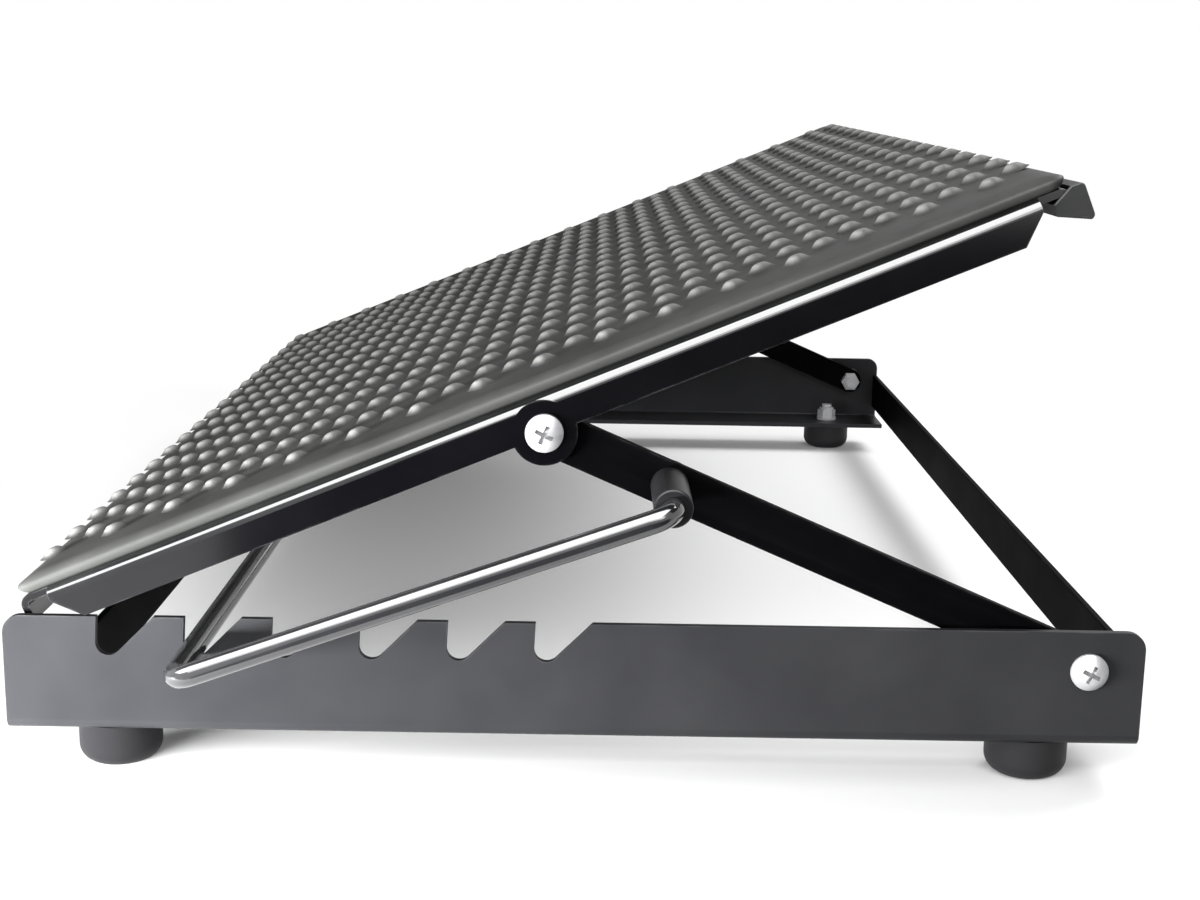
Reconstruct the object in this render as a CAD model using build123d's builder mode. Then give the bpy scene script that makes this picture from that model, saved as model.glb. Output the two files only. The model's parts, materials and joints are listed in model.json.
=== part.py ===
from build123d import *
import os
from math import asin, atan, atan2, cos, degrees, hypot, radians, sin, tan

# Adjustable footrest: a notched sheet-metal base, two swinging arms, a prop rod and a rocking plate.
# Millimetres. X runs from the heel end (-) to the toe end (+), Y across, Z up from the floor.
# The origin is on the floor under the middle of the base.

# Base rails
base_length = 304.0
base_width = 464.0
rail_height = 32.0
rail_flange = 26.0
rail_sheet = 2.0
rail_bend = 1.0
rail_corner = 5.0

# Cross strips, welded between the rails
strip_height = 16.5
strip_sheet = 2.0
strip_lift = 7.0
front_strip_inset = 17.5

# Notches in the rails' top edges
notch_count = 6
notch_pitch = 23.3
notch_depth = 10.7
notch_flank = 45.0
notch_overhang = 3.0
first_notch_inset = 28.1
notch_count_before_seat = 1

# Feet
foot_height = 12.0
foot_diameter = 22.4
foot_round = 4.8
foot_inset = 27.0
foot_setback = 13.0
foot_recess = 6.5
foot_recess_clearance = 0.3

# Arms
pivot_inset = 14.8
pivot_height = 21.1
arm_length = 158.7
arm_width = 12.0
arm_sheet = 3.0
arm_inset = 3.4
arm_angle = 23.17
stay_hole = 122.9

# Prop rod, called the stay
rod_diameter = 6.0
rod_bend = 6.0
rod_seat = 0.4
stay_reach = 29.0
rod_tail = 3.0
rod_chamfer = 0.5
sleeve_diameter = 10.0
push_nut_diameter = 12.0
push_nut_sheet = 0.8
push_nut_dish = 1.6

# Tread plate
plate_length = 294.6
plate_sheet = 2.0
plate_bend = 1.0
plate_rise = 9.6
flange_depth = 10.4
flange_length = 277.0
flange_chamfer = 7.0
ear_radius = 8.7
lip_depth = 7.2
rest_gap = 0.15

# Mat and edge trim
mat_thickness = 4.2
mat_rim = 2.0
mat_border = 6.0
mat_margin = 2.0
mat_corner = 4.0
trim_width = 8.6
trim_height = 8.8
trim_round = 2.4

# Screws, washers and nuts
screw_diameter = 5.0
screw_clearance = 0.25
running_clearance = 0.05
running_gap = 0.15
head_diameter = 10.0
head_height = 3.6
head_rim = 1.0
recess_length = 5.0
recess_width = 1.1
recess_depth = 1.6
recess_turn = 25.0
washer_diameter = 12.0
foot_washer_diameter = 10.0
foot_washer_sheet = 1.0
nut_flats = 8.0
nut_height = 4.0
collar_height = 1.2
collar_wall = 0.9
thread_end = 1.5

# Places worked out from the sizes above
half_length = base_length / 2
half_width = base_width / 2
rail_top = foot_height + rail_height
rod_radius = rod_diameter / 2
screw_radius = screw_diameter / 2
notch_radius = rod_radius + rod_seat
seat_height = rail_top - notch_depth + notch_radius
notch_places = [-half_length + first_notch_inset + notch_pitch * i for i in range(notch_count)]
seat_x = notch_places[notch_count_before_seat]

# The arms rise to their angle, and the stay is as long as it must be to reach from them to its notch.
base_pivot_x = half_length - pivot_inset
base_pivot_z = foot_height + pivot_height
arm_cos = cos(radians(arm_angle))
arm_sin = sin(radians(arm_angle))
stay_pivot_x = base_pivot_x - stay_hole * arm_cos
stay_pivot_z = base_pivot_z + stay_hole * arm_sin
stay_leg = hypot(stay_pivot_x - seat_x, stay_pivot_z - seat_height)
stay_angle = degrees(atan2(stay_pivot_z - seat_height, stay_pivot_x - seat_x))
plate_pivot_x = base_pivot_x - arm_length * arm_cos
plate_pivot_z = base_pivot_z + arm_length * arm_sin

# The plate leans until the front corners of its flanges rest on the rails' top edges.
flange_low = plate_rise - flange_depth
corner_reach = flange_length / 2 - flange_chamfer
corner_drop = plate_pivot_z - rail_top - rest_gap
plate_angle = degrees(asin(corner_drop / hypot(corner_reach, flange_low)) - atan(-flange_low / corner_reach))
plate_cos = cos(radians(plate_angle))
plate_sin = sin(radians(plate_angle))

arm_outer = half_width - arm_inset
arm_inner = arm_outer - arm_sheet
nut_seat = arm_inset + arm_sheet + running_gap
pivot_grip = nut_seat + nut_height + collar_height + thread_end
foot_points = [
    (x, y)
    for x in (-half_length + foot_inset, half_length - foot_inset)
    for y in (-half_width + foot_setback, half_width - foot_setback)
]


def plate_point(along, across, above):
    """A point given along, across and above the plate, from the middle of its pivot axis."""
    return Vector(
        plate_pivot_x + along * plate_cos - above * plate_sin,
        across,
        plate_pivot_z + along * plate_sin + above * plate_cos,
    )


along_plate = (plate_cos, 0, plate_sin)
out_of_plate = (-plate_sin, 0, plate_cos)


def across_plate(along):
    """The plane that cuts the plate squarely: its own x is Y, its own y points out of the plate."""
    return Plane(origin=plate_point(along, 0, 0), x_dir=(0, 1, 0), z_dir=along_plate)


def beside_plate(across):
    """The plane of one side of the plate: its own x runs up the slope, its own y points out of the plate."""
    return Plane(origin=plate_point(0, across, 0), x_dir=along_plate, z_dir=(0, -1, 0))


def on_plate(above):
    """The plane level with the plate: its own x runs up the slope, its own y is Y."""
    return Plane(origin=plate_point(0, 0, above), x_dir=along_plate, z_dir=out_of_plate)


def save(piece, name):
    piece.label = name
    export_step(piece, f"parts/{name}.step")


os.makedirs("parts", exist_ok=True)

# Rails: an L section with a bent corner, notched along its top edge
overhang = radians(notch_overhang)
flank = radians(notch_flank)
notch_mouth = rail_top - seat_height + rail_sheet
wall_foot = (-notch_radius * cos(overhang), notch_radius * sin(overhang))
wall_head = (wall_foot[0] + (notch_mouth - wall_foot[1]) * tan(overhang), notch_mouth)
flank_foot = (notch_radius * sin(flank), -notch_radius * cos(flank))
flank_head = (flank_foot[0] + (notch_mouth - flank_foot[1]) / tan(flank), notch_mouth)

with BuildSketch() as notch:
    with BuildLine():
        Line(wall_head, wall_foot)
        ThreePointArc(wall_foot, (0, -notch_radius), flank_foot)
        Polyline(flank_foot, flank_head, wall_head)
    make_face()

with BuildPart() as right_rail:
    with BuildSketch(Plane.YZ.offset(-half_length)) as section:
        with BuildLine():
            Polyline(
                (-half_width, rail_top),
                (-half_width, foot_height),
                (-half_width + rail_flange, foot_height),
                (-half_width + rail_flange, foot_height + rail_sheet),
                (-half_width + rail_sheet, foot_height + rail_sheet),
                (-half_width + rail_sheet, rail_top),
                close=True,
            )
        make_face()
        bend_outside = section.vertices().sort_by_distance((-half_width, foot_height))[0]
        fillet(bend_outside, rail_bend + rail_sheet)
        bend_inside = (-half_width + rail_sheet, foot_height + rail_sheet)
        fillet(section.vertices().sort_by_distance(bend_inside)[0], rail_bend)
    extrude(amount=base_length)
    fillet(right_rail.edges().filter_by(Axis.Y).group_by(Axis.Z)[-1], rail_corner)
    with BuildSketch(Plane.XZ.offset(half_width)):
        with Locations(*[(x, seat_height) for x in notch_places]):
            add(notch.sketch)
        with Locations((base_pivot_x, base_pivot_z)):
            Circle(screw_radius + screw_clearance)
    extrude(amount=-rail_sheet, mode=Mode.SUBTRACT)
    with BuildSketch(Plane.XY.offset(foot_height)):
        with Locations(*[(x, y) for x, y in foot_points if y < 0]):
            Circle(screw_radius + screw_clearance)
    extrude(amount=rail_sheet, mode=Mode.SUBTRACT)
save(right_rail.part, "right_rail")

with BuildPart() as left_rail:
    mirror(right_rail.part, about=Plane.XZ)
save(left_rail.part, "left_rail")

# Cross strips
strip_length = base_width - 2 * rail_sheet
strip_z = foot_height + strip_lift + strip_height / 2
for name, strip_x in (
    ("front_cross_strip", -half_length + front_strip_inset + strip_sheet / 2),
    ("rear_cross_strip", half_length - strip_sheet / 2),
):
    with BuildPart() as strip:
        with Locations((strip_x, 0, strip_z)):
            Box(strip_sheet, strip_length, strip_height)
    save(strip.part, name)

# Feet: turned rubber bumpers, hollowed from below for the screw head
foot_names = ("front_right_foot", "front_left_foot", "rear_right_foot", "rear_left_foot")
for name, (x, y) in zip(foot_names, foot_points):
    with BuildPart() as foot:
        with BuildSketch(Plane.XZ.offset(-y)) as turned:
            with Locations((x + foot_diameter / 4, foot_height / 2)):
                Rectangle(foot_diameter / 2, foot_height)
            fillet(turned.vertices().sort_by_distance((x + foot_diameter / 2, 0))[0], foot_round)
        revolve(axis=Axis((x, y, 0), (0, 0, 1)))
        with BuildSketch(Plane.XY):
            with Locations((x, y)):
                Circle(head_diameter / 2 + foot_recess_clearance)
        extrude(amount=foot_recess, mode=Mode.SUBTRACT)
        with BuildSketch(Plane.XY):
            with Locations((x, y)):
                Circle(screw_radius + screw_clearance)
        extrude(amount=foot_height, mode=Mode.SUBTRACT)
    save(foot.part, name)


def turned_screw(axis_plane, grip):
    """A pan-head screw: its head stands below the plane's own x axis, its shank above it."""
    with BuildPart() as screw:
        with BuildSketch(axis_plane):
            with BuildLine():
                Line((0, grip), (0, -head_height))
                TangentArc((0, -head_height), (head_diameter / 2, -head_rim), tangent=(1, 0))
                Polyline(
                    (head_diameter / 2, -head_rim),
                    (head_diameter / 2, 0),
                    (screw_radius, 0),
                    (screw_radius, grip),
                    (0, grip),
                )
            make_face()
        revolve(axis=Axis(axis_plane.origin, axis_plane.y_dir))
        head_top = Plane(axis_plane.from_local_coords((0, -head_height, 0)), axis_plane.x_dir, axis_plane.y_dir)
        with BuildSketch(head_top):
            Rectangle(recess_length, recess_width, rotation=recess_turn)
            Rectangle(recess_width, recess_length, rotation=recess_turn)
        extrude(amount=recess_depth, mode=Mode.SUBTRACT)
    return screw.part


def lock_nut(seat_plane):
    """A hexagon nut with its locking collar, standing on the plane."""
    bore = screw_radius + running_clearance
    with BuildPart() as nut:
        with BuildSketch(seat_plane):
            RegularPolygon(nut_flats / 2, 6, major_radius=False)
            Circle(bore, mode=Mode.SUBTRACT)
        extrude(amount=nut_height)
        with BuildSketch(seat_plane.offset(nut_height)):
            Circle(nut_flats / 2 - collar_wall / 2)
            Circle(bore, mode=Mode.SUBTRACT)
        extrude(amount=collar_height)
    return nut.part


# Foot screws rise through the feet and the rail flanges; washers and nuts sit on the flanges.
flange_top = foot_height + rail_sheet
foot_screw_seat = foot_recess
foot_grip = flange_top + foot_washer_sheet + nut_height + collar_height + thread_end - foot_screw_seat
foot_screw = turned_screw(Plane((0, 0, foot_screw_seat), (1, 0, 0), (0, -1, 0)), foot_grip)
foot_nut = lock_nut(Plane.XY.offset(flange_top + foot_washer_sheet))

with BuildPart() as foot_screws:
    with Locations(*foot_points):
        add(foot_screw)
save(foot_screws.part, "foot_screws")

with BuildPart() as foot_washers:
    with BuildSketch(Plane.XY.offset(flange_top)):
        with Locations(*foot_points):
            Circle(foot_washer_diameter / 2)
            Circle(screw_radius + screw_clearance, mode=Mode.SUBTRACT)
    extrude(amount=foot_washer_sheet)
save(foot_washers.part, "foot_washers")

with BuildPart() as foot_nuts:
    with Locations(*foot_points):
        add(foot_nut)
save(foot_nuts.part, "foot_nuts")

# Arms: flat bars with round ends, just inside the rails and the plate's flanges
arm_plane = Plane((base_pivot_x, -arm_outer, base_pivot_z), (-arm_cos, 0, arm_sin), (0, -1, 0))
with BuildPart() as right_arm:
    with BuildSketch(arm_plane):
        with Locations((arm_length / 2, 0)):
            SlotCenterToCenter(arm_length, arm_width)
        with Locations((0, 0), (arm_length, 0)):
            Circle(screw_radius + running_clearance, mode=Mode.SUBTRACT)
        with Locations((stay_hole, 0)):
            Circle(rod_radius + running_clearance, mode=Mode.SUBTRACT)
    extrude(amount=-arm_sheet)
save(right_arm.part, "right_arm")

with BuildPart() as left_arm:
    mirror(right_arm.part, about=Plane.XZ)
save(left_arm.part, "left_arm")

# Pivot screws, washers and lock nuts, the same at the base and at the plate
for name, pivot_x, pivot_z, sheet in (
    ("base_pivot", base_pivot_x, base_pivot_z, rail_sheet),
    ("plate_pivot", plate_pivot_x, plate_pivot_z, plate_sheet),
):
    axis_plane = Plane((pivot_x, -half_width, pivot_z), (1, 0, 0), (0, 0, 1))
    nut_plane = Plane((pivot_x, -half_width + nut_seat, pivot_z), (1, 0, 0), (0, 1, 0))
    right_screw = turned_screw(axis_plane, pivot_grip)
    right_nut = lock_nut(nut_plane)

    with BuildPart() as screws:
        add(right_screw)
        mirror(right_screw, about=Plane.XZ)
    save(screws.part, f"{name}_screws")

    with BuildPart() as washers:
        with BuildSketch(Plane((pivot_x, -half_width + sheet, pivot_z), (1, 0, 0), (0, 1, 0))):
            Circle(washer_diameter / 2)
            Circle(screw_radius + screw_clearance, mode=Mode.SUBTRACT)
        extrude(amount=arm_inset - running_gap - sheet)
        mirror(about=Plane.XZ)
    save(washers.part, f"{name}_washers")

    with BuildPart() as nuts:
        add(right_nut)
        mirror(right_nut, about=Plane.XZ)
    save(nuts.part, f"{name}_nuts")

# Stay: one bent rod, its crossbar in the notches and its turned-in ends through the arms
stay_cos = cos(radians(stay_angle))
stay_sin = sin(radians(stay_angle))
stay_plane = Plane((stay_pivot_x, 0, stay_pivot_z), (0, 1, 0), (-stay_sin, 0, stay_cos))
leg_y = half_width + stay_reach
rod_end = arm_inner - rod_tail
with BuildPart() as stay_rod:
    with BuildLine(stay_plane) as rod_path:
        FilletPolyline(
            (-rod_end, 0),
            (-leg_y, 0),
            (-leg_y, stay_leg),
            (leg_y, stay_leg),
            (leg_y, 0),
            (rod_end, 0),
            radius=rod_bend,
        )
    with BuildSketch(Plane(rod_path.line @ 0, z_dir=rod_path.line % 0)):
        Circle(rod_radius)
    sweep()
    chamfer(stay_rod.faces().filter_by(GeomType.PLANE).edges(), rod_chamfer)
save(stay_rod.part, "stay_rod")

# Sleeves space the stay's legs from the arms; push nuts hold its ends
sleeve_start = arm_outer + running_gap
sleeve_end = leg_y - rod_bend
for name, side in (("right_sleeve", -1), ("left_sleeve", 1)):
    with BuildPart() as sleeve:
        with BuildSketch(Plane((stay_pivot_x, side * sleeve_start, stay_pivot_z), (1, 0, 0), (0, side, 0))):
            Circle(sleeve_diameter / 2)
            Circle(rod_radius + running_clearance, mode=Mode.SUBTRACT)
        extrude(amount=sleeve_end - sleeve_start)
        fillet(sleeve.edges().group_by(SortBy.LENGTH)[-1], (sleeve_diameter / 2 - rod_radius) / 3)
    save(sleeve.part, name)

with BuildPart() as stay_push_nuts:
    push_seat = arm_inner - running_gap
    with BuildSketch(Plane((stay_pivot_x, -push_seat, stay_pivot_z), (1, 0, 0), (0, 0, 1))):
        with BuildLine():
            Polyline(
                (rod_radius + running_clearance, push_nut_dish),
                (rod_radius + running_clearance, push_nut_dish - push_nut_sheet),
                (push_nut_diameter / 2 - push_nut_sheet, 0),
                (push_nut_diameter / 2, 0),
                (push_nut_diameter / 2, push_nut_sheet),
                (push_nut_diameter / 2 - push_nut_sheet, push_nut_sheet),
                close=True,
            )
        make_face()
    revolve(axis=Axis((stay_pivot_x, -push_seat, stay_pivot_z), (0, 1, 0)))
    mirror(about=Plane.XZ)
save(stay_push_nuts.part, "stay_push_nuts")

# Tread plate: a bent tray with chamfered side flanges, pivot ears and turned-down end lips
plate_outer_bend = plate_bend + plate_sheet
sheet_half_width = half_width - plate_outer_bend
plate_under = plate_rise - plate_sheet
lip_outer = plate_length / 2
lip_inner = lip_outer - plate_sheet
lip_low = plate_rise - lip_depth
with BuildPart() as tread_plate:
    with BuildSketch(across_plate(-flange_length / 2)) as tray:
        with BuildLine():
            Polyline(
                (-half_width, flange_low),
                (-half_width, plate_rise),
                (half_width, plate_rise),
                (half_width, flange_low),
                (half_width - plate_sheet, flange_low),
                (half_width - plate_sheet, plate_under),
                (-half_width + plate_sheet, plate_under),
                (-half_width + plate_sheet, flange_low),
                close=True,
            )
        make_face()
        for side in (-1, 1):
            outside = (side * half_width, plate_rise)
            inside = (side * (half_width - plate_sheet), plate_under)
            fillet(tray.vertices().sort_by_distance(outside)[0], plate_outer_bend)
            fillet(tray.vertices().sort_by_distance(inside)[0], plate_bend)
    extrude(amount=flange_length)
    with BuildSketch(beside_plate(-half_width)):
        for end in (-1, 1):
            flange_end = end * flange_length / 2
            with BuildLine():
                Polyline(
                    (flange_end, flange_low),
                    (flange_end, flange_low + flange_chamfer),
                    (flange_end - end * flange_chamfer, flange_low),
                    close=True,
                )
            make_face()
    extrude(amount=-base_width, mode=Mode.SUBTRACT)
    for side in (-half_width, half_width - plate_sheet):
        with BuildSketch(beside_plate(side)):
            Circle(ear_radius)
        extrude(amount=-plate_sheet)
    with BuildSketch(beside_plate(-half_width)):
        Circle(screw_radius + screw_clearance)
    extrude(amount=-base_width, mode=Mode.SUBTRACT)
    with BuildSketch(on_plate(plate_under)):
        Rectangle(plate_length - 2 * plate_outer_bend, 2 * sheet_half_width)
    extrude(amount=plate_sheet)
    for end in (-1, 1):
        with BuildSketch(beside_plate(-sheet_half_width)) as lip:
            with BuildLine():
                Polyline(
                    (end * (lip_inner - plate_outer_bend), plate_rise),
                    (end * lip_outer, plate_rise),
                    (end * lip_outer, lip_low),
                    (end * lip_inner, lip_low),
                    (end * lip_inner, plate_under),
                    (end * (lip_inner - plate_outer_bend), plate_under),
                    close=True,
                )
            make_face()
            fillet(lip.vertices().sort_by_distance((end * lip_outer, plate_rise))[0], plate_outer_bend)
            fillet(lip.vertices().sort_by_distance((end * lip_inner, plate_under))[0], plate_bend)
        extrude(amount=-2 * sheet_half_width)
save(tread_plate.part, "tread_plate")

# Mat: a rubber sheet with a bevelled border, glued to the plate
mat_length = plate_length
mat_width = base_width - 2 * mat_margin
with BuildPart() as tread_mat:
    with BuildSketch(on_plate(plate_rise)):
        RectangleRounded(mat_length, mat_width, mat_corner)
    extrude(amount=mat_rim)
    with BuildSketch(on_plate(plate_rise + mat_rim)):
        RectangleRounded(mat_length, mat_width, mat_corner)
    with BuildSketch(on_plate(plate_rise + mat_thickness)):
        RectangleRounded(mat_length - 2 * mat_border, mat_width - 2 * mat_border, mat_corner / 2)
    loft(ruled=True)
save(tread_mat.part, "tread_mat")

# Trim: a rubber channel pushed up over the plate's rear lip
trim_middle = (lip_outer + lip_inner) / 2
trim_centre = lip_low - (trim_width - plate_sheet) / 2 + trim_height / 2
trim_inner_top = plate_under - plate_bend - running_gap
with BuildPart() as rear_edge_trim:
    with BuildSketch(beside_plate(-sheet_half_width)):
        with Locations((trim_middle, trim_centre)):
            RectangleRounded(trim_width, trim_height, trim_round)
        with BuildLine():
            Polyline(
                (trim_middle - trim_width, trim_inner_top),
                (lip_inner - running_clearance, trim_inner_top),
                (lip_inner - running_clearance, lip_low),
                (lip_outer + running_clearance, lip_low),
                (lip_outer + running_clearance, plate_rise + trim_height),
                (trim_middle - trim_width, plate_rise + trim_height),
                close=True,
            )
        make_face(mode=Mode.SUBTRACT)
    extrude(amount=-2 * sheet_half_width)
save(rear_edge_trim.part, "rear_edge_trim")

print(f"stay {stay_leg:.2f} long at {stay_angle:.2f} deg, plate {plate_angle:.2f} deg")
print(f"base pivot {base_pivot_x:.2f}, {base_pivot_z:.2f}; plate pivot {plate_pivot_x:.2f}, {plate_pivot_z:.2f}")
print(f"stay pivot {stay_pivot_x:.2f}, {stay_pivot_z:.2f}; rod seat {seat_x:.2f}, {seat_height:.2f}")
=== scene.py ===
import bpy
import bmesh
import json
from math import copysign, cos, sin, pi, radians
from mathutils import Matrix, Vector


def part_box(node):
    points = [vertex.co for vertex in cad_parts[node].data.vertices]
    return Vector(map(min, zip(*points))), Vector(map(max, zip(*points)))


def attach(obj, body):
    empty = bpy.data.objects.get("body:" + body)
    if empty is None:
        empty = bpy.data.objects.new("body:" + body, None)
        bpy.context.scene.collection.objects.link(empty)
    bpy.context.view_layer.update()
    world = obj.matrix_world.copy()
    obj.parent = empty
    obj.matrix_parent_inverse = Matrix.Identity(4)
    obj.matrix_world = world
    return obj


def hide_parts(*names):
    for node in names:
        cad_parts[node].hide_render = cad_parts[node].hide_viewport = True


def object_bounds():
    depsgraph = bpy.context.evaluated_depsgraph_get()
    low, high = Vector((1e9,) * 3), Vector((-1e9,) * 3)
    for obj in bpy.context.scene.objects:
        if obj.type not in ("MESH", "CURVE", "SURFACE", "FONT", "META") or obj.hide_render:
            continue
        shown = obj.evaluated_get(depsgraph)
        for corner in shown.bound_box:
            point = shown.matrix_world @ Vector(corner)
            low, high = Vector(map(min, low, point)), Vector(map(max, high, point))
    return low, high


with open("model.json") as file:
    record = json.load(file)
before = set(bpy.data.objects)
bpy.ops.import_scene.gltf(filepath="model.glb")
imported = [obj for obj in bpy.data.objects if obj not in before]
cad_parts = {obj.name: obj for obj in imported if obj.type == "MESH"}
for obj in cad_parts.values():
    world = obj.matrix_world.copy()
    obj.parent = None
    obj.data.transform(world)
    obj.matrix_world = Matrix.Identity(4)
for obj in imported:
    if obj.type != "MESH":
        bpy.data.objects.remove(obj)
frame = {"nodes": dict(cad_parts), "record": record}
cadLow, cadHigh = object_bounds()
nodes = frame["nodes"]
scene = bpy.context.scene
scene.view_settings.view_transform = "Standard"
print("frame loaded:", len(nodes), "nodes")

mm = 0.001

# The plate leans, so what lies on it is placed along it, across it and out of it, from the middle of the mat
treadMount = next(m for m in frame["record"]["mounts"] if m["name"] == "tread_top")
mountPoint = Vector(treadMount["pos_m"])
treadUp = Vector(treadMount["axis"]).normalized()
treadAlong = Vector((treadUp.z, 0, -treadUp.x))
matPoints = [v.co.copy() for v in nodes["tread_mat"].data.vertices]
matReach = [(p - mountPoint).dot(treadAlong) for p in matPoints]
treadCentre = mountPoint + treadAlong * (min(matReach) + max(matReach)) / 2
matHalfLength = (max(matReach) - min(matReach)) / 2 / mm
matHalfWidth = max(p.y for p in matPoints) / mm


def onTread(along, across, up):
    # millimetres on the mat's ground to a point of the scene
    return treadCentre + (treadAlong * along + Vector((0, across, 0)) + treadUp * up) * mm


# Camera
cameraSetup = {
    "place": (0.00384, -0.67789, 0.18614),
    "turn": (77.99, -0.99, -0.04),
    "lens": 52.72,
    "sensor": 36.0,
    "nearest": 0.01,
}
camera = bpy.data.objects.new("camera", bpy.data.cameras.new("camera"))
scene.collection.objects.link(camera)
camera.location = cameraSetup["place"]
camera.rotation_euler = [radians(a) for a in cameraSetup["turn"]]
camera.data.lens = cameraSetup["lens"]
camera.data.sensor_width = cameraSetup["sensor"]
camera.data.clip_start = cameraSetup["nearest"]
scene.camera = camera
print("camera placed")


def newMaterial(name):
    mat = bpy.data.materials.new(name)
    mat.use_nodes = True
    tree = mat.node_tree
    tree.nodes.clear()
    out = tree.nodes.new("ShaderNodeOutputMaterial")
    shader = tree.nodes.new("ShaderNodeBsdfPrincipled")
    tree.links.new(shader.outputs["BSDF"], out.inputs["Surface"])
    return mat, tree, shader


def newGroup(name, inputs, outputs):
    tree = bpy.data.node_groups.new(name, "ShaderNodeTree")
    for label, kind, value in inputs:
        socket = tree.interface.new_socket(label, in_out="INPUT", socket_type=kind)
        socket.default_value = value
    for label, kind in outputs:
        tree.interface.new_socket(label, in_out="OUTPUT", socket_type=kind)
    return tree, tree.nodes.new("NodeGroupInput"), tree.nodes.new("NodeGroupOutput")


def placeGroup(tree, group, **values):
    node = tree.nodes.new("ShaderNodeGroup")
    node.node_tree = group
    for label, value in values.items():
        node.inputs[label].default_value = value
    return node


def mathNode(tree, operation, a, b=None, clamp=False):
    node = tree.nodes.new("ShaderNodeMath")
    node.operation = operation
    node.use_clamp = clamp
    for socket, value in zip(node.inputs, (a, b)):
        if value is None:
            continue
        if hasattr(value, "links"):
            tree.links.new(value, socket)
        else:
            socket.default_value = value
    return node.outputs[0]


def dotNode(tree, first):
    # dot product of a linked vector with a second one, to be set or linked
    node = tree.nodes.new("ShaderNodeVectorMath")
    node.operation = "DOT_PRODUCT"
    tree.links.new(first, node.inputs[0])
    return node


def mixColours(tree, mask, first, second):
    node = tree.nodes.new("ShaderNodeMix")
    node.data_type = "RGBA"
    tree.links.new(mask, node.inputs["Factor"])
    for label, value in (("A", first), ("B", second)):
        socket = [s for s in node.inputs if s.name == label and s.type == "RGBA"][0]
        if hasattr(value, "links"):
            tree.links.new(value, socket)
        else:
            socket.default_value = (*value, 1)
    return [s for s in node.outputs if s.type == "RGBA"][0]


def spread(tree, value, low, high, toLow=0.0, toHigh=1.0):
    node = tree.nodes.new("ShaderNodeMapRange")
    node.inputs["From Min"].default_value = low
    node.inputs["From Max"].default_value = high
    node.inputs["To Min"].default_value = toLow
    node.inputs["To Max"].default_value = toHigh
    tree.links.new(value, node.inputs["Value"])
    return node.outputs["Result"]


def noise(tree, scale, detail, rough):
    node = tree.nodes.new("ShaderNodeTexNoise")
    tree.links.new(scale, node.inputs["Scale"])
    node.inputs["Detail"].default_value = detail
    node.inputs["Roughness"].default_value = rough
    coords = tree.nodes.new("ShaderNodeTexCoord")
    tree.links.new(coords.outputs["Object"], node.inputs["Vector"])
    return node.outputs["Fac"]


# Slightly pebbled skin of a sprayed or moulded surface
skinNoise = {"fine": (1.5, 0.5), "coarse": (3.0, 0.6), "mottleRange": (0.3, 0.7)}
skinGroup, skinIn, skinOut = newGroup(
    "pebbledSkin",
    [("Scale", "NodeSocketFloat", 900.0), ("Coarse", "NodeSocketFloat", 60.0)],
    [("Height", "NodeSocketFloat"), ("Mottle", "NodeSocketFloat")])
fineNoise = noise(skinGroup, skinIn.outputs["Scale"], *skinNoise["fine"])
coarseNoise = noise(skinGroup, skinIn.outputs["Coarse"], *skinNoise["coarse"])
skinGroup.links.new(fineNoise, skinOut.inputs["Height"])
skinGroup.links.new(spread(skinGroup, coarseNoise, *skinNoise["mottleRange"]), skinOut.inputs["Mottle"])

# Where an edge is, for a paler rubbed rim in patches
rubNoise = {"samples": 6, "bendRange": (0.995, 0.88), "patch": (4.0, 0.65), "patchRange": (0.45, 0.68)}
edgeGroup, edgeIn, edgeOut = newGroup(
    "edgeRub",
    [("Width", "NodeSocketFloat", 0.0008), ("Patchy", "NodeSocketFloat", 120.0)],
    [("Mask", "NodeSocketFloat")])
roundNode = edgeGroup.nodes.new("ShaderNodeBevel")
roundNode.samples = rubNoise["samples"]
edgeGroup.links.new(edgeIn.outputs["Width"], roundNode.inputs["Radius"])
flatNormal = edgeGroup.nodes.new("ShaderNodeNewGeometry")
bendNode = dotNode(edgeGroup, roundNode.outputs["Normal"])
edgeGroup.links.new(flatNormal.outputs["Normal"], bendNode.inputs[1])
edgeAmount = spread(edgeGroup, bendNode.outputs["Value"], *rubNoise["bendRange"])
patchNoise = noise(edgeGroup, edgeIn.outputs["Patchy"], *rubNoise["patch"])
patches = spread(edgeGroup, patchNoise, *rubNoise["patchRange"])
edgeGroup.links.new(mathNode(edgeGroup, "MULTIPLY", edgeAmount, patches, True), edgeOut.inputs["Mask"])

# Fine dust, thicker on faces that look up
dustNoise = {"cloud": (6.0, 0.7), "cloudRange": (0.35, 0.75), "upRange": (0.1, 0.95)}
dustGroup, dustIn, dustOut = newGroup(
    "settledDust",
    [("Scale", "NodeSocketFloat", 45.0), ("Amount", "NodeSocketFloat", 0.2)],
    [("Mask", "NodeSocketFloat")])
faceDirection = dustGroup.nodes.new("ShaderNodeNewGeometry")
splitNode = dustGroup.nodes.new("ShaderNodeSeparateXYZ")
dustGroup.links.new(faceDirection.outputs["Normal"], splitNode.inputs[0])
facingUp = spread(dustGroup, splitNode.outputs["Z"], *dustNoise["upRange"])
cloudNoise = noise(dustGroup, dustIn.outputs["Scale"], *dustNoise["cloud"])
cloud = spread(dustGroup, cloudNoise, *dustNoise["cloudRange"])
dustMask = mathNode(dustGroup, "MULTIPLY", mathNode(dustGroup, "MULTIPLY", facingUp, cloud),
                    dustIn.outputs["Amount"], True)
dustGroup.links.new(dustMask, dustOut.inputs["Mask"])
print("shared finishes built")


def skinBump(tree, shader, skin, look):
    bump = tree.nodes.new("ShaderNodeBump")
    bump.inputs["Strength"].default_value = look["bump"]
    bump.inputs["Distance"].default_value = look["bumpDepth"]
    tree.links.new(skin.outputs["Height"], bump.inputs["Height"])
    tree.links.new(bump.outputs["Normal"], shader.inputs["Normal"])


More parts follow.
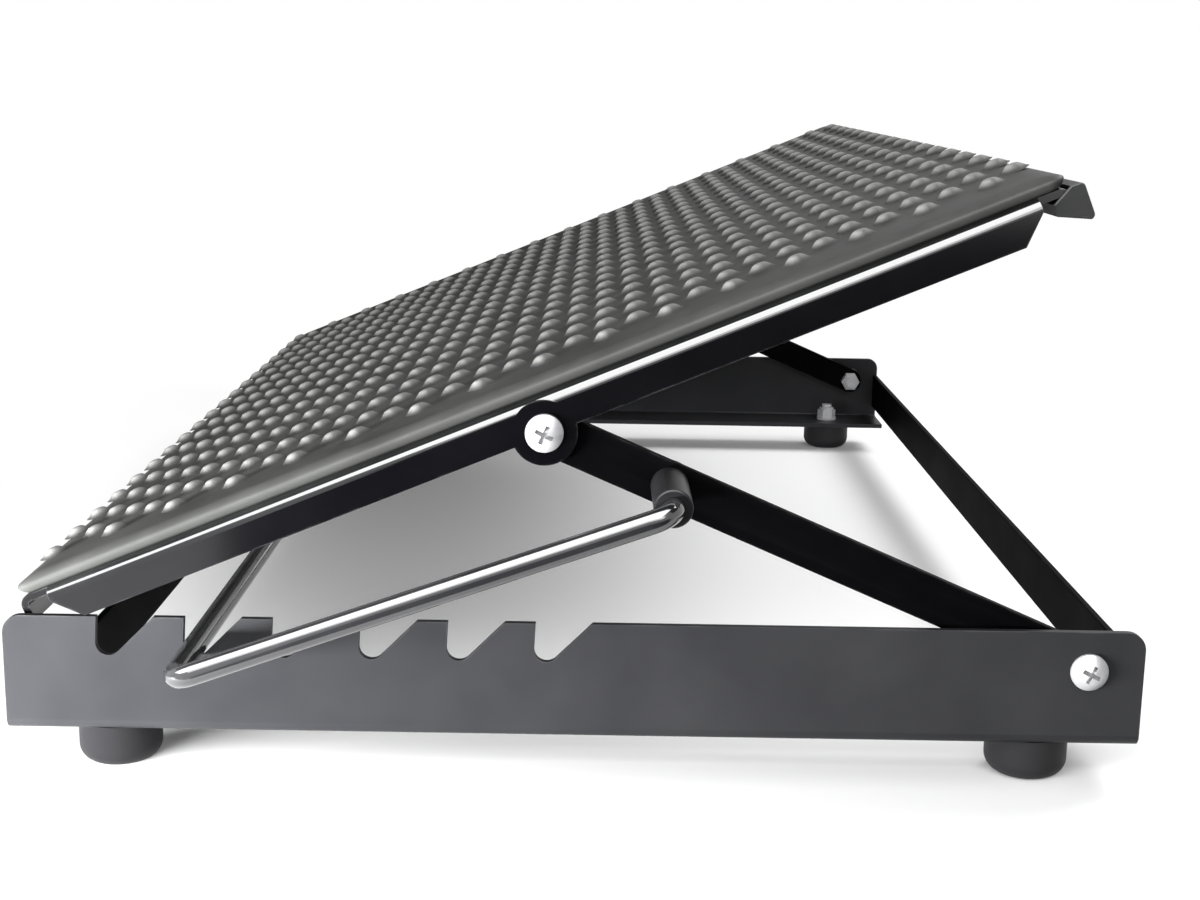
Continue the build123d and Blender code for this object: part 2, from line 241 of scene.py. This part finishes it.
def coatedFinish(name, look):
    # a dark sprayed coat or moulded rubber: pebbled skin, mottled gloss, rubbed edges and a little dust
    mat, tree, shader = newMaterial(name)
    skin = placeGroup(tree, skinGroup, Scale=look["grain"], Coarse=look["mottle"])
    edge = placeGroup(tree, edgeGroup, Width=look["rubWidth"], Patchy=look["rubPatch"])
    dust = placeGroup(tree, dustGroup, Scale=look["dustScale"], Amount=look["dust"])
    tone = mixColours(tree, skin.outputs["Mottle"], look["colour"], look["colourTwo"])
    rubMask = mathNode(tree, "MULTIPLY", edge.outputs["Mask"], look["rub"], True)
    rubbed = mixColours(tree, rubMask, tone, look["rubColour"])
    dusty = mixColours(tree, dust.outputs["Mask"], rubbed, look["dustColour"])
    tree.links.new(dusty, shader.inputs["Base Color"])
    rough = spread(tree, skin.outputs["Mottle"], 0, 1, *look["rough"])
    dulling = mathNode(tree, "MULTIPLY", dust.outputs["Mask"], look["dustRough"])
    tree.links.new(mathNode(tree, "ADD", rough, dulling, True), shader.inputs["Roughness"])
    skinBump(tree, shader, skin, look)
    shader.inputs["Specular IOR Level"].default_value = look["shine"]
    shader.inputs["Coat Weight"].default_value = look["gloss"]
    shader.inputs["Coat Roughness"].default_value = look["glossRough"]
    shader.inputs["Coat IOR"].default_value = look["glossIndex"]
    return mat


def matWithPaintedTopHighlight(name, look):
    # mat rubber, smoother on the tops of the studs, whose tops are also painted paler: a painted highlight,
    # with some rubbed wear
    mat = coatedFinish(name, look)
    tree = mat.node_tree
    shader = next(n for n in tree.nodes if n.type == "BSDF_PRINCIPLED")
    coords = tree.nodes.new("ShaderNodeTexCoord")
    heightNode = dotNode(tree, coords.outputs["Object"])
    heightNode.inputs[1].default_value = treadUp
    ground = treadCentre.dot(treadUp)
    topFrom, topTo = [ground + height * mm for height in look["topRange"]]
    topHighlightAndSmoothingMask = spread(tree, heightNode.outputs["Value"], topFrom, topTo)
    plainColour = shader.inputs["Base Color"].links[0].from_socket
    plainRough = shader.inputs["Roughness"].links[0].from_socket
    # painted highlight: the higher on a stud, the paler the colour, with some rubbed wear
    tree.links.new(mixColours(tree, topHighlightAndSmoothingMask, plainColour, look["paintedTopHighlightColour"]), shader.inputs["Base Color"])
    smoothing = mathNode(tree, "MULTIPLY", topHighlightAndSmoothingMask, look["rough"][0] - look["topRough"])
    tree.links.new(mathNode(tree, "SUBTRACT", plainRough, smoothing, True), shader.inputs["Roughness"])
    return mat


def metalFinish(name, look):
    # plated or bare steel with a fine grain and dull spots
    mat, tree, shader = newMaterial(name)
    skin = placeGroup(tree, skinGroup, Scale=look["grain"], Coarse=look["mottle"])
    mottle = skin.outputs["Mottle"]
    tree.links.new(mixColours(tree, mottle, look["colour"], look["colourTwo"]), shader.inputs["Base Color"])
    tree.links.new(spread(tree, mottle, 0, 1, *look["rough"]), shader.inputs["Roughness"])
    skinBump(tree, shader, skin, look)
    shader.inputs["Metallic"].default_value = look["metal"]
    return mat


# Coats, rubbers and metals
plateCoat = {
    "colour": (0.0011, 0.0011, 0.0015), "colourTwo": (0.0019, 0.0019, 0.0024),
    "rough": (0.22, 0.28), "shine": 0.05, "gloss": 1.0, "glossRough": 0.1, "glossIndex": 1.7,
    "grain": 700.0, "mottle": 30.0, "bump": 0.06, "bumpDepth": 0.0002,
    "rub": 0.25, "rubWidth": 0.0008, "rubPatch": 110.0, "rubColour": (0.1, 0.1, 0.105),
    "dust": 0.02, "dustScale": 60.0, "dustColour": (0.3, 0.3, 0.3), "dustRough": 0.3,
}
# a darker copy of the black coat: painted shade for the arms and cross strips under the plate
armCoatPaintedShade = dict(
    plateCoat, colour=(0.0008, 0.0008, 0.001), colourTwo=(0.0013, 0.0013, 0.0016),
    rough=(0.5, 0.58), shine=0.012, gloss=0.0)
# a paler copy of the black coat: painted light on the rails
railCoatPaintedLight = dict(
    plateCoat, colour=(0.0128, 0.013, 0.0145), colourTwo=(0.017, 0.0172, 0.0187),
    rough=(0.4, 0.46), shine=0.12, gloss=0.0, grain=800.0, bump=0.12)
rodCoat = dict(
    plateCoat, colour=(0.008, 0.008, 0.009), colourTwo=(0.011, 0.011, 0.012),
    rough=(0.16, 0.22), shine=0.3, bump=0.04)
footSkin = dict(
    plateCoat, colour=(0.0065, 0.0065, 0.0073), colourTwo=(0.009, 0.009, 0.0098),
    rough=(0.5, 0.62), shine=0.2, gloss=0.0, bump=0.3, rub=0.1, dust=0.12)
trimSkin = dict(
    footSkin, colour=(0.012, 0.0122, 0.0125), colourTwo=(0.016, 0.0162, 0.0165), rough=(0.5, 0.6))
sleeveSkin = dict(
    footSkin, colour=(0.006, 0.006, 0.007), colourTwo=(0.009, 0.009, 0.01),
    rough=(0.3, 0.38), bump=0.1, dust=0.05)
matSkin = dict(
    footSkin, colour=(0.034, 0.0345, 0.0332), colourTwo=(0.044, 0.0446, 0.043),
    rough=(0.5, 0.58), shine=0.09, grain=1400.0, bump=0.2, rub=0.0, dust=0.05,
    # the stud tops are painted paler: a painted highlight, with some rubbed wear
    paintedTopHighlightColour=(0.2, 0.2, 0.194), topRough=0.36, topRange=(0.3, 1.8))
zincLook = {
    "colour": (0.38, 0.38, 0.39), "colourTwo": (0.32, 0.32, 0.335), "rough": (0.42, 0.5),
    "grain": 1500.0, "mottle": 300.0, "bump": 0.08, "bumpDepth": 0.0001, "metal": 0.45,
}
springLook = {
    "colour": (0.3, 0.3, 0.31), "colourTwo": (0.2, 0.2, 0.21), "rough": (0.3, 0.45),
    "grain": 1200.0, "mottle": 250.0, "bump": 0.1, "bumpDepth": 0.0001, "metal": 1.0,
}
finishes = {
    "black_powder_coat": coatedFinish("plateCoat", plateCoat),
    "railCoatPaintedLight": coatedFinish("railCoatPaintedLight", railCoatPaintedLight),
    "armCoatPaintedShade": coatedFinish("armCoatPaintedShade", armCoatPaintedShade),
    "black_rod_coat": coatedFinish("rodCoat", rodCoat),
    "foot_rubber": coatedFinish("footRubber", footSkin),
    "trim_rubber": coatedFinish("trimRubber", trimSkin),
    "sleeve_plastic": coatedFinish("sleevePlastic", sleeveSkin),
    "mat_rubber": matWithPaintedTopHighlight("matRubber", matSkin),
    "zinc_plate": metalFinish("zincPlate", zincLook),
    "spring_steel": metalFinish("springSteel", springLook),
}

# The rails get a paler copy of the black coat, painted light, and the arms with the cross strips a darker
# copy, painted shade
coatOf = {
    "left_rail": "railCoatPaintedLight", "right_rail": "railCoatPaintedLight", "left_arm": "armCoatPaintedShade", "right_arm": "armCoatPaintedShade",
    "front_cross_strip": "armCoatPaintedShade", "rear_cross_strip": "armCoatPaintedShade",
}
slotOf = {s["node"]: s["material_slot"] for s in frame["record"]["subparts"]}
for name, node in nodes.items():
    finish = finishes[coatOf.get(name, slotOf[name])]
    for materialSlot in node.material_slots:
        materialSlot.material = finish
print("finishes given to the nodes")

# Sheet edges get a small round, as cut and coated sheet has
sheetEdges = {
    "rounds": {"left_rail": 0.35, "right_rail": 0.35, "front_cross_strip": 0.35, "rear_cross_strip": 0.35,
               "left_arm": 0.4, "right_arm": 0.4, "tread_plate": 0.35},
    "weldReach": 1e-6, "flatAngle": 0.6, "cornerAngle": 50, "steps": 2,
}
for name, width in sheetEdges["rounds"].items():
    weld = nodes[name].modifiers.new("weld", "WELD")
    weld.merge_threshold = sheetEdges["weldReach"]
    flat = nodes[name].modifiers.new("flat", "DECIMATE")
    flat.decimate_type = "DISSOLVE"
    flat.angle_limit = radians(sheetEdges["flatAngle"])
    rim = nodes[name].modifiers.new("rim", "BEVEL")
    rim.width = width * mm
    rim.segments = sheetEdges["steps"]
    rim.limit_method = "ANGLE"
    rim.angle_limit = radians(sheetEdges["cornerAngle"])
    rim.harden_normals = False
    rim.use_clamp_overlap = True
print("edges rounded")


def joinRings(bm, rings):
    # a skin over rings of equal count, open at both ends
    loops = [[bm.verts.new(point) for point in ring] for ring in rings]
    count = len(loops[0])
    for low, high in zip(loops, loops[1:]):
        for i in range(count):
            bm.faces.new((low[i], low[(i + 1) % count], high[(i + 1) % count], high[i]))
    return loops


def closedForm(bm, rings):
    loops = joinRings(bm, rings)
    bm.faces.new(loops[-1])
    bm.faces.new(list(reversed(loops[0])))


def quarterTurn(middle, radius, start, steps):
    # points of a quarter circle, counted from its start angle
    turns = [radians(start + 90 * i / steps) for i in range(steps + 1)]
    return [(middle[0] + radius * cos(t), middle[1] + radius * sin(t)) for t in turns]


def meshPiece(name, bm, finish, body, smooth=True):
    mesh = bpy.data.meshes.new(name)
    bm.to_mesh(mesh)
    bm.free()
    piece = bpy.data.objects.new(name, mesh)
    scene.collection.objects.link(piece)
    piece.data.materials.append(finish)
    for face in mesh.polygons:
        face.use_smooth = smooth
    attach(piece, body)
    return piece


# Studded mat: a soft-edged sheet, undercut at its rim, with rounded diamonds in staggered rows
matForm = {
    "edge": [(2.0, -4.2), (1.0, -3.6), (0.4, -2.9), (0.1, -2.4), (0.0, -2.0), (0.15, -1.6), (0.7, -1.2),
             (2.0, -0.75), (4.2, -0.25), (6.2, -0.04), (7.4, 0.0)],  # inset and height, from the base up
    "corner": 5.0, "leastCorner": 0.6, "cornerSteps": 10,
    "pitch": 18.35, "row": 11.4, "columns": 16, "rowsEachSide": 18,
    "stud": [(1.16, -0.05, 1.25), (1.04, 0.07, 1.3), (0.93, 0.3, 1.35), (0.74, 0.9, 1.35), (0.56, 1.45, 1.3),
             (0.42, 1.74, 1.2), (0.22, 1.87, 1.1)],  # share of the size, height and power, from the foot up
    "studLength": 7.8, "studWidth": 9.8, "studHeight": 1.9, "studSteps": 12,
}


def matOutline(inset):
    # rounded rectangle, the same number of points at every inset
    radius = max(matForm["corner"] - inset, matForm["leastCorner"])
    along, across = matHalfLength - inset - radius, matHalfWidth - inset - radius
    points = []
    for signAlong, signAcross, start in ((1, 1, 0), (-1, 1, 90), (-1, -1, 180), (1, -1, 270)):
        points += quarterTurn((signAlong * along, signAcross * across), radius, start, matForm["cornerSteps"])
    return points


def diamondStud(bm, along, across):
    # each ring's corners are softer as its power falls
    steps = matForm["studSteps"]
    rings = []
    for share, height, power in matForm["stud"]:
        ring = []
        for i in range(steps):
            c, s = cos(2 * pi * i / steps), sin(2 * pi * i / steps)
            a = along + matForm["studLength"] / 2 * share * copysign(abs(c) ** power, c)
            b = across + matForm["studWidth"] / 2 * share * copysign(abs(s) ** power, s)
            ring.append(onTread(a, b, height))
        rings.append(ring)
    crown = joinRings(bm, rings)[-1]
    peak = bm.verts.new(onTread(along, across, matForm["studHeight"]))
    for i in range(steps):
        bm.faces.new((crown[i], crown[(i + 1) % steps], peak))


bm = bmesh.new()
closedForm(bm, [[onTread(a, c, height) for a, c in matOutline(inset)] for inset, height in matForm["edge"]])
studCount = 0
for row in range(-matForm["rowsEachSide"], matForm["rowsEachSide"] + 1):
    shift = matForm["pitch"] / 4 if row % 2 else -matForm["pitch"] / 4
    for column in range(matForm["columns"]):
        fromMiddle = column - (matForm["columns"] - 1) / 2
        diamondStud(bm, shift + matForm["pitch"] * fromMiddle, matForm["row"] * row)
        studCount += 1
studdedMat = meshPiece("studdedMat", bm, finishes["mat_rubber"], "plate")
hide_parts("tread_mat")
print("mat made:", studCount, "studs")

# Rear trim: a strip slotted over the plate's rear lip, flaring from front to rear, closed at both ends
trimForm = {
    "front": 141.75, "back": 150.85, "top": -4.35, "frontTop": -7.35, "frontLow": -10.5, "low": -14.2,
    "round": 1.3, "roundSteps": 5,
    "lipFront": 145.2, "lipBack": 147.4, "lipLow": -11.45,
    "cap": 1.0, "capRim": 0.3, "capShare": 0.93,
}


def trimOutline():
    # along and up, in order round the outside, with the two rear corners rounded
    f = trimForm
    points = [(f["front"], f["frontTop"]), (f["front"], f["frontLow"])]
    middle = f["back"] - f["round"]
    for up, start in ((f["low"] + f["round"], -90), (f["top"] - f["round"], 0)):
        points += quarterTurn((middle, up), f["round"], start, f["roundSteps"])
    return points + [(f["lipBack"], f["top"])]


def trimRing(section, across):
    return [onTread(along, across, up) for along, up in section]


bm = bmesh.new()
trimLow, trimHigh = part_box("rear_edge_trim")
trimEnds = {-1: trimLow[1] / mm, 1: trimHigh[1] / mm}
outline = trimOutline()
lipSlot = [(trimForm["lipBack"], trimForm["lipLow"]), (trimForm["lipFront"], trimForm["lipLow"]),
           (trimForm["lipFront"], trimForm["frontTop"])]
closedForm(bm, [trimRing(outline + lipSlot, end) for end in trimEnds.values()])
centre = [sum(p[i] for p in outline) / len(outline) for i in (0, 1)]
drawnIn = [tuple(c + (v - c) * trimForm["capShare"] for c, v in zip(centre, p)) for p in outline]
for side, end in trimEnds.items():
    rimStart = end + side * (trimForm["cap"] - trimForm["capRim"])
    closedForm(bm, [trimRing(outline, end), trimRing(outline, rimStart),
                    trimRing(drawnIn, end + side * trimForm["cap"])])
bmesh.ops.recalc_face_normals(bm, faces=bm.faces)
flaredTrim = meshPiece("flaredTrim", bm, finishes["trim_rubber"], "plate", smooth=False)
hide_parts("rear_edge_trim")
print("trim made")


def stagePlane(name, nearCorner, farCorner, finish):
    # a level or upright rectangle between two opposite corners
    (left, front, low), (right, back, high) = nearCorner, farCorner
    bm = bmesh.new()
    corners = [(left, front, low), (right, front, low), (right, back, high), (left, back, high)]
    bm.faces.new([bm.verts.new(c) for c in corners])
    mesh = bpy.data.meshes.new(name)
    bm.to_mesh(mesh)
    bm.free()
    plane = bpy.data.objects.new(name, mesh)
    scene.collection.objects.link(plane)
    plane.data.materials.append(finish)
    return plane


# Floor: pale near the object, running into the white background away from it
floorLook = {
    "nearCorner": (-1.8, -0.32, 0), "farCorner": (1.8, 2.4, 0),
    "colour": (0.9, 0.9, 0.9), "rough": 0.9, "shine": 0.1, "glow": 0.05, "fade": (0.0, 0.11),
}
floorMat, floorTree, floorShader = newMaterial("paleFloor")
floorShader.inputs["Base Color"].default_value = (*floorLook["colour"], 1)
floorShader.inputs["Roughness"].default_value = floorLook["rough"]
floorShader.inputs["Specular IOR Level"].default_value = floorLook["shine"]
floorOut = next(n for n in floorTree.nodes if n.type == "OUTPUT_MATERIAL")
cameraRay = floorTree.nodes.new("ShaderNodeLightPath").outputs["Is Camera Ray"]
floorGlow = floorTree.nodes.new("ShaderNodeEmission")
glowAmount = mathNode(floorTree, "MULTIPLY", cameraRay, floorLook["glow"])
floorTree.links.new(glowAmount, floorGlow.inputs["Strength"])
floorSum = floorTree.nodes.new("ShaderNodeAddShader")
floorTree.links.new(floorShader.outputs["BSDF"], floorSum.inputs[0])
floorTree.links.new(floorGlow.outputs[0], floorSum.inputs[1])
floorCoords = floorTree.nodes.new("ShaderNodeTexCoord")
floorSplit = floorTree.nodes.new("ShaderNodeSeparateXYZ")
floorTree.links.new(floorCoords.outputs["Object"], floorSplit.inputs[0])
outside = [mathNode(floorTree, "SUBTRACT", mathNode(floorTree, "ABSOLUTE", floorSplit.outputs[label]), reach)
           for label, reach in (("X", cadHigh[0]), ("Y", cadHigh[1]))]
floorFade = spread(floorTree, mathNode(floorTree, "MAXIMUM", *outside), *floorLook["fade"])
floorWhite = floorTree.nodes.new("ShaderNodeEmission")
floorMix = floorTree.nodes.new("ShaderNodeMixShader")
floorTree.links.new(mathNode(floorTree, "MULTIPLY", floorFade, cameraRay), floorMix.inputs["Fac"])
floorTree.links.new(floorSum.outputs[0], floorMix.inputs[1])
floorTree.links.new(floorWhite.outputs[0], floorMix.inputs[2])
floorTree.links.new(floorMix.outputs[0], floorOut.inputs["Surface"])
stagePlane("floor", floorLook["nearCorner"], floorLook["farCorner"], floorMat)
print("floor laid")

# Screens that only reflections see: dark ones for depth, and a bright card for the bend's white line
screenLook = {"dark": (0.01, 0.01, 0.01), "darkRough": 1.0, "darkShine": 0.0, "cardGlow": 13.0}
darkMat, _, darkShader = newMaterial("darkScreen")
darkShader.inputs["Base Color"].default_value = (*screenLook["dark"], 1)
darkShader.inputs["Roughness"].default_value = screenLook["darkRough"]
darkShader.inputs["Specular IOR Level"].default_value = screenLook["darkShine"]
cardMat, _, cardShader = newMaterial("brightCard")
cardShader.inputs["Base Color"].default_value = (0, 0, 0, 1)
cardShader.inputs["Emission Color"].default_value = (1, 1, 1, 1)
cardShader.inputs["Emission Strength"].default_value = screenLook["cardGlow"]
screens = {
    "darkScreen": ((-0.25, -0.95, -0.7), (1.6, -0.95, 0.1), darkMat),
    "darkCeiling": ((-1.8, -0.6, 1.1), (1.8, 0.9, 1.1), darkMat),
    "darkFlag": ((-1.8, 0.85, 0.01), (0.0, 0.85, 0.8), darkMat),
    "brightCard": ((-2.2, -1.3, 0.9), (0.5, -0.22, 0.9), cardMat),
}  # near corner, far corner and finish
for name, (nearCorner, farCorner, finish) in screens.items():
    screen = stagePlane(name, nearCorner, farCorner, finish)
    screen.visible_camera = False
    screen.visible_diffuse = False
    screen.visible_shadow = False
print("screens hung")

# Background: white where it is seen or mirrored, softer as light
worldLook = {"seen": 1.0, "soft": 0.42}
world = bpy.data.worlds.new("studio")
scene.world = world
world.use_nodes = True
worldTree = world.node_tree
worldTree.nodes.clear()
worldOut = worldTree.nodes.new("ShaderNodeOutputWorld")
path = worldTree.nodes.new("ShaderNodeLightPath")
mirrorRay = mathNode(worldTree, "MAXIMUM", path.outputs["Is Glossy Ray"], path.outputs["Is Transmission Ray"])
seenRay = mathNode(worldTree, "MAXIMUM", path.outputs["Is Camera Ray"], mirrorRay)
worldMix = worldTree.nodes.new("ShaderNodeMixShader")
worldTree.links.new(seenRay, worldMix.inputs["Fac"])
for place, part in ((1, "soft"), (2, "seen")):
    background = worldTree.nodes.new("ShaderNodeBackground")
    background.inputs["Color"].default_value = (1, 1, 1, 1)
    background.inputs["Strength"].default_value = worldLook[part]
    worldTree.links.new(background.outputs[0], worldMix.inputs[place])
worldTree.links.new(worldMix.outputs[0], worldOut.inputs["Surface"])

# Lamps
lamps = {
    "frontWindow": {"place": (0.0, -1.35, 0.85), "aim": (-0.02, -0.1, 0.08), "size": (1.9, 0.5),
                    "power": 17.5, "mirrored": True},
    "leftLow": {"place": (-0.28, -0.4, 0.02), "aim": (-0.15, -0.232, 0.025), "size": (0.24, 0.03),
                "power": 9.5, "mirrored": False},
    "rightBack": {"place": (0.58, 0.3, 0.7), "aim": (0.08, 0.05, 0.0), "size": (0.6, 0.35),
                  "power": 6.5, "mirrored": True},
}
for name, lamp in lamps.items():
    light = bpy.data.lights.new(name, "AREA")
    light.shape = "RECTANGLE"
    light.size, light.size_y = lamp["size"]
    light.energy = lamp["power"]
    lampObject = bpy.data.objects.new(name, light)
    scene.collection.objects.link(lampObject)
    lampObject.location = lamp["place"]
    lookWay = Vector(lamp["aim"]) - Vector(lamp["place"])
    lampObject.rotation_euler = lookWay.to_track_quat("-Z", "Y").to_euler()
    lampObject.visible_camera = False
    lampObject.visible_glossy = lamp["mirrored"]
print("light set")
